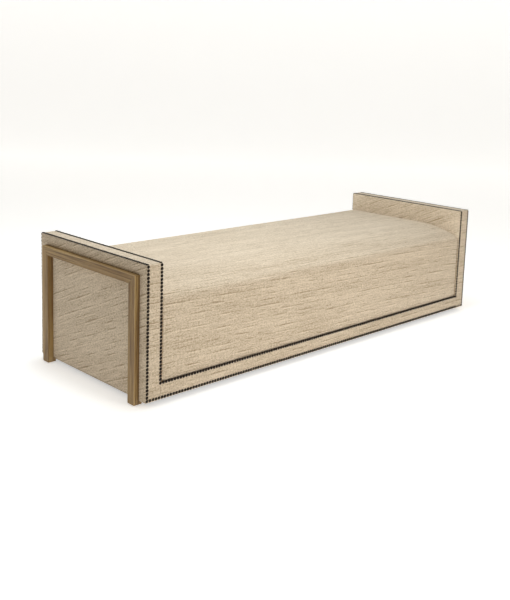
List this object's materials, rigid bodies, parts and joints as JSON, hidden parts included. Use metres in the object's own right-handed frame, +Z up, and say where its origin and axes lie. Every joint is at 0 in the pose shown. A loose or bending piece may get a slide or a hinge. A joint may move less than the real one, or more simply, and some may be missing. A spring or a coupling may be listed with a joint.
{
  "type": "daybed",
  "caption": "Upholstered daybed with a long crowned seat between two flat end boards, each with a wooden portal frame outside and rows of dark domed nails along its edges.",
  "frame": {"origin": "on the floor under the middle of the daybed", "axes": "+X along the length, +Y from front to back, +Z up"},
  "size_m": [2.172, 0.7514, 0.5552],
  "materials": {
    "frame_wood": "oiled light brown oak, open straight grain, eased edges",
    "inner_timber": "planed softwood",
    "board": "plywood",
    "cover_fabric": "oatmeal linen weave with slubs",
    "wadding": "white polyester wadding",
    "foam": "polyurethane foam",
    "hessian": "woven jute",
    "dust_cloth": "black non-woven cloth",
    "nail_bronze": "dark antique bronze, soft shine",
    "spring_steel": "drawn wire",
    "fastener_steel": "zinc plated",
    "dowel_wood": "fluted beech",
    "glide": "moulded nylon"
  },
  "bodies": {
    "root": {"back_band_nails": "nail_bronze", "back_bottom_band": "cover_fabric", "bolt_washers": "fastener_steel", "dust_cover": "dust_cloth", "end_bolts": "fastener_steel", "floor_glides": "glide", "frame_screws": "fastener_steel", "front_band_nails": "nail_bronze", "front_bottom_band": "cover_fabric", "left_back_leg": "frame_wood", "left_border_cover": "cover_fabric", "left_border_strips": "inner_timber", "left_core_back_post": "inner_timber", "left_core_front_post": "inner_timber", "left_core_rails": "inner_timber", "left_edge_band": "cover_fabric", "left_end_nails": "nail_bronze", "left_front_leg": "frame_wood", "left_inner_board": "board", "left_inner_cover": "cover_fabric", "left_panel_board": "board", "left_panel_cover": "cover_fabric", "left_top_rail": "frame_wood", "left_wadding": "wadding", "mitre_dowels": "dowel_wood", "right_back_leg": "frame_wood", "right_border_cover": "cover_fabric", "right_border_strips": "inner_timber", "right_core_back_post": "inner_timber", "right_core_front_post": "inner_timber", "right_core_rails": "inner_timber", "right_edge_band": "cover_fabric", "right_end_nails": "nail_bronze", "right_front_leg": "frame_wood", "right_inner_board": "board", "right_inner_cover": "cover_fabric", "right_panel_board": "board", "right_panel_cover": "cover_fabric", "right_top_rail": "frame_wood", "right_wadding": "wadding", "seat_back_board": "board", "seat_back_lower_rail": "inner_timber", "seat_back_upper_rail": "inner_timber", "seat_corner_blocks": "inner_timber", "seat_cover": "cover_fabric", "seat_foam": "foam", "seat_front_board": "board", "seat_front_lower_rail": "inner_timber", "seat_front_upper_rail": "inner_timber", "seat_hessian": "hessian", "seat_left_end_rails": "inner_timber", "seat_posts": "inner_timber", "seat_right_end_rails": "inner_timber", "seat_springs": "spring_steel", "seat_stretchers": "inner_timber", "seat_wadding": "wadding", "spring_clips": "fastener_steel", "tee_nuts": "fastener_steel"}
  },
  "joints": []
}
